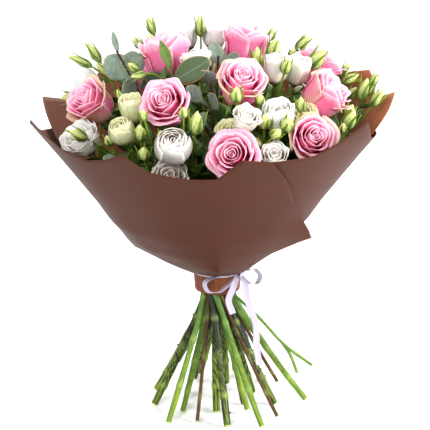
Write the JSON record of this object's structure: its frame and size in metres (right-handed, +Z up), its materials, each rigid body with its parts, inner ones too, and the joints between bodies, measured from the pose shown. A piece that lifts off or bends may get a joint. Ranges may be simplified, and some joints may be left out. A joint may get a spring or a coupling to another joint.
{
  "type": "mixed flower bouquet",
  "caption": "Hand-tied spiral bouquet of roses, lisianthus and eucalyptus in gathered paper with a ribbon bow, standing upright on its cut stems.",
  "frame": {"origin": "cut end of the middle stem, on the surface that the bouquet stands on", "axes": "+Z up from the cut stems to the flowers, -Y to the front, where the ribbon's bow is, +X to the right of the front"},
  "size_m": [0.4012, 0.4047, 0.4495],
  "materials": {
    "rose_petal": "matte",
    "white_petal": "matte",
    "rose_stem": "satin",
    "lisianthus_green": "satin",
    "eucalyptus_leaf": "matte",
    "wrapping_paper": "matte",
    "ribbon": "satin",
    "twine": "matte"
  },
  "bodies": {
    "root": {"bloom_back_left": "white_petal", "bloom_back_low": "white_petal", "bloom_back_right": "white_petal", "bloom_cream_cup": "white_petal", "bloom_cream_globe": "white_petal", "bloom_cream_open": "white_petal", "bloom_front_left": "white_petal", "bloom_front_lower": "white_petal", "bloom_front_upper": "white_petal", "bloom_left": "white_petal", "bloom_middle": "white_petal", "bloom_middle_low": "white_petal", "bloom_ruffled": "white_petal", "bloom_small": "white_petal", "bloom_top_left": "white_petal", "bloom_top_right": "white_petal", "bloom_tulip_left": "white_petal", "bloom_tulip_right": "white_petal", "bloom_wide": "white_petal", "eucalyptus_front": "eucalyptus_leaf", "eucalyptus_left": "eucalyptus_leaf", "eucalyptus_middle": "eucalyptus_leaf", "eucalyptus_top": "eucalyptus_leaf", "paper_back": "wrapping_paper", "paper_front": "wrapping_paper", "paper_right": "wrapping_paper", "ribbon": "ribbon", "rose_a": "rose_petal", "rose_a_stem": "rose_stem", "rose_b": "rose_petal", "rose_b_stem": "rose_stem", "rose_c": "rose_petal", "rose_c_stem": "rose_stem", "rose_d": "rose_petal", "rose_d_stem": "rose_stem", "rose_e": "rose_petal", "rose_e_stem": "rose_stem", "rose_f": "rose_petal", "rose_f_stem": "rose_stem", "rose_g": "rose_petal", "rose_g_stem": "rose_stem", "rose_h": "rose_petal", "rose_h_stem": "rose_stem", "rose_i": "rose_petal", "rose_i_stem": "rose_stem", "rose_j": "rose_petal", "rose_j_stem": "rose_stem", "rose_k": "rose_petal", "rose_k_stem": "rose_stem", "spray_back": "lisianthus_green", "spray_front": "lisianthus_green", "spray_front_left": "lisianthus_green", "spray_front_right": "lisianthus_green", "spray_left": "lisianthus_green", "spray_middle_left": "lisianthus_green", "spray_right": "lisianthus_green", "spray_right_front": "lisianthus_green", "spray_top_left": "lisianthus_green", "spray_top_right": "lisianthus_green", "string": "twine"}
  },
  "joints": []
}
